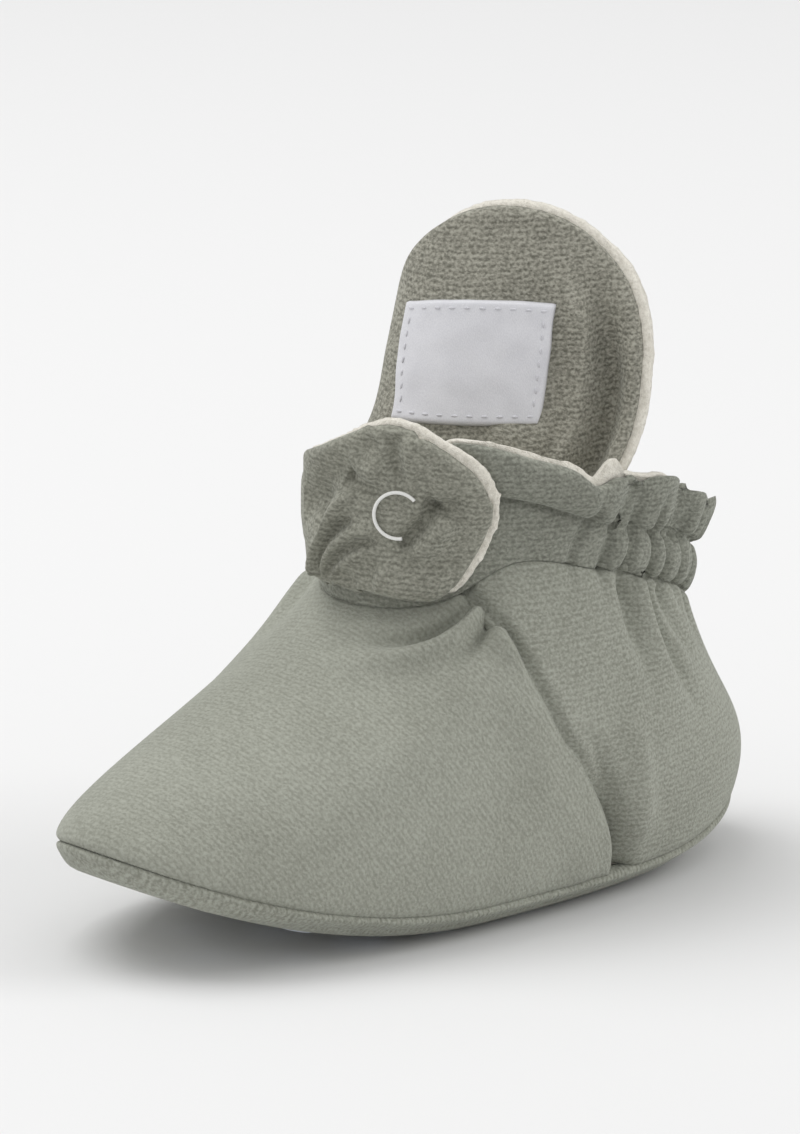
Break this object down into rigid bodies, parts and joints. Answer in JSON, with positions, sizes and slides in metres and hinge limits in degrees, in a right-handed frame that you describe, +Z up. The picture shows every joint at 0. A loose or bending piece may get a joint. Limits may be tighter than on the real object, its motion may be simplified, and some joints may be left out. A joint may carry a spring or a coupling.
{
  "type": "baby bootie slipper",
  "caption": "Soft baby bootie slipper with a gathered ankle frill, tall tongue, snap tab and padded sole with grip dots.",
  "frame": {"origin": "on the floor under the middle of the sole's length and width, on the flat underside of the middle grip dot", "axes": "+Z up, -Y towards the toe, +X towards the wearer's left, the side on which the snap tab closes"},
  "size_m": [0.0552, 0.1206, 0.1014],
  "materials": {
    "velour_sole": "short sage grey velour over a thin pad",
    "fleece_footbed": "off-white fleece",
    "velour_upper": "short sage grey velour, fleece inside",
    "velour_tongue": "short sage grey velour, fleece behind",
    "velour_tab": "short sage grey velour, fleece inside",
    "woven_label": "plain woven label, bare",
    "snap_plastic": "off-white ring snap",
    "grip_silicone": "soft satin silicone"
  },
  "bodies": {
    "root": {"sole": "velour_sole", "insole": "fleece_footbed", "upper": "velour_upper", "tongue": "velour_tongue", "closure_tab": "velour_tab", "label": "woven_label", "snap_ring": "snap_plastic", "grip_dot_01": "grip_silicone", "grip_dot_02": "grip_silicone", "grip_dot_03": "grip_silicone", "grip_dot_04": "grip_silicone", "grip_dot_05": "grip_silicone", "grip_dot_06": "grip_silicone", "grip_dot_07": "grip_silicone", "grip_dot_08": "grip_silicone", "grip_dot_09": "grip_silicone", "grip_dot_10": "grip_silicone", "grip_dot_11": "grip_silicone", "grip_dot_12": "grip_silicone", "grip_dot_13": "grip_silicone", "grip_dot_14": "grip_silicone", "grip_dot_15": "grip_silicone", "grip_dot_16": "grip_silicone", "grip_dot_17": "grip_silicone", "grip_dot_18": "grip_silicone", "grip_dot_19": "grip_silicone", "grip_dot_20": "grip_silicone", "grip_dot_21": "grip_silicone"}
  },
  "joints": []
}
